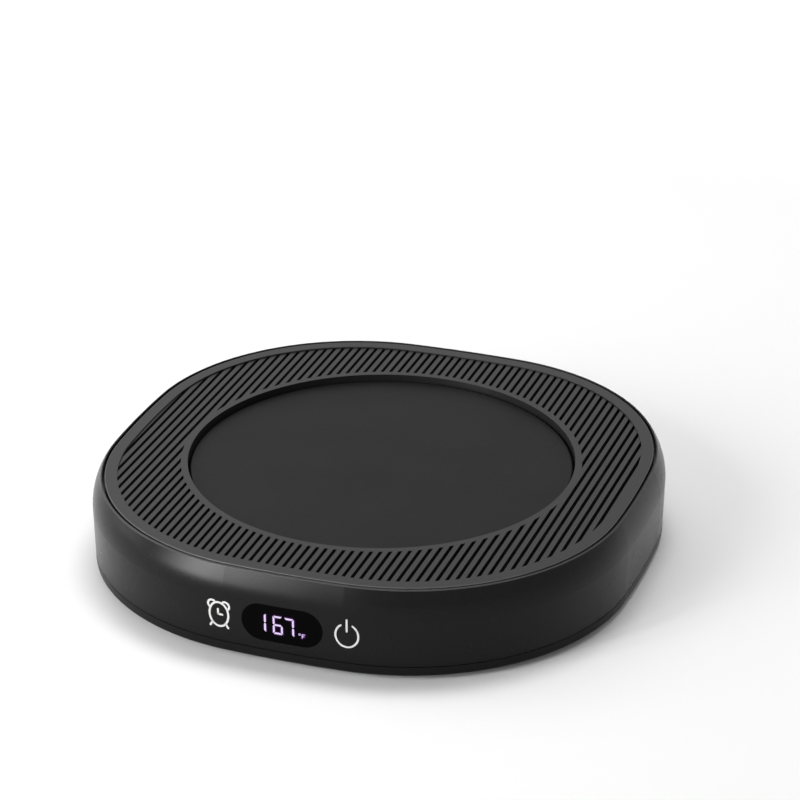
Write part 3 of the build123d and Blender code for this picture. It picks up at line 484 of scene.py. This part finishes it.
def add_stroke(mesh, edges, target, proud, depth, closed=False):
    """A closed ribbon that follows the wall: a front skin, a back skin and sides."""
    rows = []
    for left, right in edges:
        row = []
        for x, z in (left, right):
            base = on_wall(target, x, z)
            row.append(mesh.verts.new(base + Vector((0, -proud, 0))))
            row.append(mesh.verts.new(base + Vector((0, depth, 0))))
        rows.append(row)
    count = len(rows)
    for i in range(count if closed else count - 1):
        a, b = rows[i], rows[(i + 1) % count]
        mesh.faces.new((a[0], b[0], b[2], a[2]))
        mesh.faces.new((a[3], b[3], b[1], a[1]))
        mesh.faces.new((a[1], b[1], b[0], a[0]))
        mesh.faces.new((a[2], b[2], b[3], a[3]))
    if not closed:
        for row, turn in ((rows[0], 1), (rows[-1], -1)):
            mesh.faces.new((row[0], row[2], row[3], row[1])[::turn])


def finish_piece(name, mesh, material):
    """Turns a mesh in the making into a piece that rides the base."""
    bmesh.ops.recalc_face_normals(mesh, faces=mesh.faces)
    data = bpy.data.meshes.new(name)
    mesh.to_mesh(data)
    mesh.free()
    data.materials.append(material)
    piece = bpy.data.objects.new(name, data)
    bpy.context.scene.collection.objects.link(piece)
    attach(piece, "base")
    return piece


def print_symbol(name, open_lines, closed_lines, width, material):
    """A key symbol on the front wall, drawn in strokes of one width."""
    housing = NODES["upper_housing"]
    mesh = bmesh.new()
    for line in closed_lines:
        edges = round_ended(line, width, closed=True)
        add_stroke(mesh, edges, housing, INK_PROUD, INK_DEPTH, closed=True)
    for line in open_lines:
        add_stroke(mesh, round_ended(line, width), housing, INK_PROUD, INK_DEPTH)
    return finish_piece(name, mesh, material)


def around(centre, point, mirror=1):
    """A point measured from a centre, on its right or, mirrored, on its left."""
    return (centre[0] + mirror * point[0], centre[1] + point[1])


def clock_symbol(material):
    """Timer key: a round face with two hands, two bells and two feet."""
    face = arc(CLOCK_CENTRE, CLOCK_RADII, 0, 360, count=96)[:-1]
    corner = around(CLOCK_CENTRE, HAND_CORNER)
    lines = [
        straight(corner, (corner[0], corner[1] + HAND_UP)),
        straight(corner, (corner[0] + HAND_ACROSS, corner[1])),
    ]
    bell = arc(BELL_CENTRE, (BELL_RADIUS, BELL_RADIUS), BELL_START, BELL_SWEEP, count=30)
    for side in (-1, 1):
        lines.append([around(CLOCK_CENTRE, point, side) for point in bell])
        foot_top, foot_tip = (around(CLOCK_CENTRE, end, side) for end in (FOOT_TOP, FOOT_TIP))
        lines.append(straight(foot_top, foot_tip))
    return print_symbol("timer_symbol", lines, [face], CLOCK_STROKE, material)


def power_symbol(material):
    """Power key: an open ring with a stem in its gap."""
    ring = arc(POWER_CENTRE, POWER_RADII, 90 + POWER_GAP, 360 - 2 * POWER_GAP, count=80)
    x, z = POWER_CENTRE
    stem = straight((x, z + STEM[0]), (x, z + STEM[1]))
    return print_symbol("power_symbol", [ring, stem], [], POWER_STROKE, material)


def segment(name, box, width):
    """Edge points of a figure's segment: mitred at the corners, pointed at the middle row."""
    left, right, low, high = box
    middle = (low + high) / 2
    # start, end, the side that lies outwards (1 left of the way, -1 right), and whether the
    # start and the end are mitred
    start, end, outward, mitred = {
        "a": ((left, high), (right, high), 1, (True, True)),
        "b": ((right, middle), (right, high), -1, (False, True)),
        "c": ((right, middle), (right, low), 1, (False, True)),
        "d": ((left, low), (right, low), -1, (True, True)),
        "e": ((left, middle), (left, low), -1, (False, True)),
        "f": ((left, middle), (left, high), 1, (False, True)),
        "g": ((left, middle), (right, middle), 1, (False, False)),
    }[name]
    dx, dz = end[0] - start[0], end[1] - start[1]
    length = math.hypot(dx, dz)
    ux, uz = dx / length, dz / length
    half = width / 2

    def place(along, side):
        return (start[0] + ux * along - uz * side, start[1] + uz * along + ux * side)

    def mitre(at, way):
        outer = at + way * half * CORNER_SHARE
        inner = at - way * (half + SEGMENT_GAP)
        reach = (outer, inner) if outward > 0 else (inner, outer)
        return [(place(reach[0], half), place(reach[1], -half))]

    def point(at, way):
        shoulder = (at - way * (half + SEGMENT_GAP), half)
        tip = (at - way * SEGMENT_GAP, half * TIP_SHARE)
        return [(place(along, side), place(along, -side)) for along, side in (shoulder, tip)]

    first = mitre(0, -1) if mitred[0] else point(0, -1)[::-1]
    last = mitre(length, 1) if mitred[1] else point(length, 1)
    return first + last


def display_strokes(growth=0.0):
    """Edge points of every lit stroke, wider by growth on each side."""
    strokes = []
    for figure, *box in DIGITS:
        for name in SEGMENTS[figure]:
            strokes.append(segment(name, box, SEGMENT_WIDTH + 2 * growth))
    x, low, high = UNIT_STEM
    width = UNIT_WIDTH + 2 * growth
    strokes.append(round_ended(straight((x, low), (x, high), count=4), width))
    for z, length in UNIT_BARS:
        strokes.append(round_ended(straight((x, z), (x + length, z), count=4), width))
    return strokes


def lit_display():
    """The digits and their unit at the lens's face, with a violet glow that fades round them."""
    lens = NODES["display_window"]
    for level, (name, growth, colour, strength) in enumerate(DISPLAY_LAYERS, 1):
        mesh = bmesh.new()
        proud = DIGIT_PROUD * level / len(DISPLAY_LAYERS)
        for edges in display_strokes(growth):
            add_stroke(mesh, edges, lens, proud, INK_DEPTH)
        ring = arc(DEGREE_CENTRE, (DEGREE_RADIUS, DEGREE_RADIUS), 0, 360, count=20)[:-1]
        edges = round_ended(ring, DEGREE_STROKE + growth, closed=True)
        add_stroke(mesh, edges, lens, proud, INK_DEPTH, closed=True)
        finish_piece(name, mesh, lit(name + "_light", colour, strength))


# ---------------------------------------------------------------- springs and leads


def tube(mesh, points, radius, sides=10):
    """A round wire through these points, with flat ends."""
    rows = []
    turns = [2 * math.pi * j / sides for j in range(sides)]
    side = (points[1] - points[0]).orthogonal()
    for i, point in enumerate(points):
        along = (points[min(i + 1, len(points) - 1)] - points[max(i - 1, 0)]).normalized()
        side = (side - side.dot(along) * along).normalized()
        up = along.cross(side)
        ring = [point + radius * (math.cos(t) * side + math.sin(t) * up) for t in turns]
        rows.append([mesh.verts.new(place) for place in ring])
    for a, b in zip(rows, rows[1:]):
        for j in range(sides):
            k = (j + 1) % sides
            mesh.faces.new((a[j], a[k], b[k], b[j])).smooth = True
    mesh.faces.new(rows[0][::-1])
    mesh.faces.new(rows[-1])


def give_way(piece, node):
    """The piece stands for a node, which is hidden, and gets a mesh of its own."""
    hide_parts(node)
    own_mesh(piece)


def coil_springs(material, steps=28):
    """Three open coils, with this many steps to a turn."""
    low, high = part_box("plate_springs")
    rise = high[2] - low[2] - 2 * SPRING_WIRE
    mesh = bmesh.new()
    for place in map(math.radians, SPRING_ANGLES):
        points = []
        for i in range(SPRING_TURNS * steps + 1):
            turn = 2 * math.pi * i / steps
            x = SPRING_REACH * math.cos(place) + SPRING_RADIUS * math.cos(turn)
            y = SPRING_REACH * math.sin(place) + SPRING_RADIUS * math.sin(turn)
            points.append(Vector((x, y, low[2] + SPRING_WIRE + rise * i / (SPRING_TURNS * steps))))
        tube(mesh, points, SPRING_WIRE)
    give_way(finish_piece("coil_springs", mesh, material), "plate_springs")


def heater_wires(material):
    """Two leads, each a smooth line along its route."""
    mesh = bmesh.new()
    for x in LEAD_X:
        route = bpy.data.curves.new("lead_route", "CURVE")
        route.dimensions = "3D"
        route.bevel_depth = LEAD_RADIUS
        route.bevel_resolution = LEAD_BEVEL
        route.use_fill_caps = True
        spline = route.splines.new("NURBS")
        spline.points.add(len(LEAD_ROUTE) - 1)
        for point, (y, z) in zip(spline.points, LEAD_ROUTE):
            point.co = (x, y, z, 1)
        spline.order_u = 3
        spline.use_endpoint_u = True
        holder = bpy.data.objects.new("lead_route", route)
        mesh.from_mesh(bpy.data.meshes.new_from_object(holder))
        bpy.data.objects.remove(holder)
    give_way(finish_piece("heater_wires", mesh, material), "heater_leads")


# ---------------------------------------------------------------- stage


def seen_directly(nodes, links):
    """1 for the camera, in reflections and through glass, 0 for the light on matt surfaces."""
    path = nodes.new("ShaderNodeLightPath")
    result = path.outputs["Is Camera Ray"]
    for ray in ("Is Glossy Ray", "Is Transmission Ray"):
        either = nodes.new("ShaderNodeMath")
        either.operation = "MAXIMUM"
        links.new(result, either.inputs[0])
        links.new(path.outputs[ray], either.inputs[1])
        result = either.outputs["Value"]
    return result


def floor_material():
    """Pale floor: diffuse, with a lift that only the camera and reflections see."""
    finish = Finish("floor_white", roughness=0.9, Specular_IOR_Level=0.0)
    finish.colour((FLOOR_COLOUR,) * 3, finish.noise(3), spread=0.004)
    reach = finish.nodes.new("ShaderNodeVectorMath")
    reach.operation = "LENGTH"
    finish.links.new(finish.place, reach.inputs[0])
    growth = finish.nodes.new("ShaderNodeMapRange")
    for end, distance, level in zip(("Min", "Max"), FLOOR_FADE, FLOOR_LIFT):
        growth.inputs["From " + end].default_value = distance
        growth.inputs["To " + end].default_value = level
    finish.links.new(reach.outputs["Value"], growth.inputs["Value"])
    lift = finish.nodes.new("ShaderNodeMath")
    lift.operation = "MULTIPLY"
    finish.links.new(growth.outputs["Result"], lift.inputs[0])
    finish.links.new(seen_directly(finish.nodes, finish.links), lift.inputs[1])
    finish.shader.inputs["Emission Color"].default_value = (1, 1, 1, 1)
    finish.links.new(lift.outputs["Value"], finish.shader.inputs["Emission Strength"])
    return finish.material


def floor():
    """A plain level floor under the feet."""
    bpy.ops.mesh.primitive_plane_add(size=2 * FLOOR_REACH, location=(0, 0, 0))
    plane = bpy.context.object
    plane.name = "floor"
    plane.data.materials.append(floor_material())


def world():
    """Pale surroundings, which light matt surfaces only a little."""
    scene_world = bpy.data.worlds.new("studio")
    scene_world.use_nodes = True
    nodes, links = scene_world.node_tree.nodes, scene_world.node_tree.links
    background = nodes["Background"]
    background.inputs["Color"].default_value = (1, 1, 1, 1)
    strength = nodes.new("ShaderNodeMapRange")
    strength.inputs["To Min"].default_value = SKY_FILL
    strength.inputs["To Max"].default_value = SKY
    links.new(seen_directly(nodes, links), strength.inputs["Value"])
    links.new(strength.outputs["Result"], background.inputs["Strength"])
    bpy.context.scene.world = scene_world


def lamps():
    """Softboxes that face the middle of the object."""
    rows = dict(LAMPS)
    for i, radiance in enumerate(KEY_ROW):
        rows[f"key_{i}"] = (KEY_START + i * KEY_STEP, *KEY_STRIP, radiance)
    for name, (azimuth, elevation, distance, size, radiance) in rows.items():
        turn, rise = math.radians(azimuth), math.radians(elevation)
        level = math.cos(rise)
        direction = Vector((math.sin(turn) * level, -math.cos(turn) * level, math.sin(rise)))
        light = bpy.data.lights.new(name, "AREA")
        light.shape = "RECTANGLE"
        light.size, light.size_y = size
        light.energy = math.pi * size[0] * size[1] * radiance  # a lamp's radiance is P / (pi A)
        holder = bpy.data.objects.new(name, light)
        holder.location = distance * direction
        holder.rotation_euler = direction.to_track_quat("Z", "Y").to_euler()
        holder.visible_diffuse = name not in SHEEN_LAMPS
        holder.visible_glossy = name not in MATT_LAMPS
        bpy.context.scene.collection.objects.link(holder)


def camera():
    """The view that the picture was taken from, without depth of field."""
    data = bpy.data.cameras.new("camera")
    data.lens = CAMERA_LENS
    data.sensor_width = SENSOR
    holder = bpy.data.objects.new("camera", data)
    holder.location = CAMERA_PLACE
    holder.rotation_euler = (math.radians(CAMERA_PITCH), 0, math.radians(CAMERA_YAW))
    bpy.context.scene.collection.objects.link(holder)
    bpy.context.scene.camera = holder


slot_materials = slot_finishes()
dress_nodes(slot_materials)
print_ink = ink("print_white")
clock_symbol(print_ink)
power_symbol(print_ink)
lit_display()
coil_springs(slot_materials["spring_steel"])
heater_wires(slot_materials["lead_red"])
floor()
world()
lamps()
camera()
bpy.context.scene.view_settings.view_transform = "Standard"
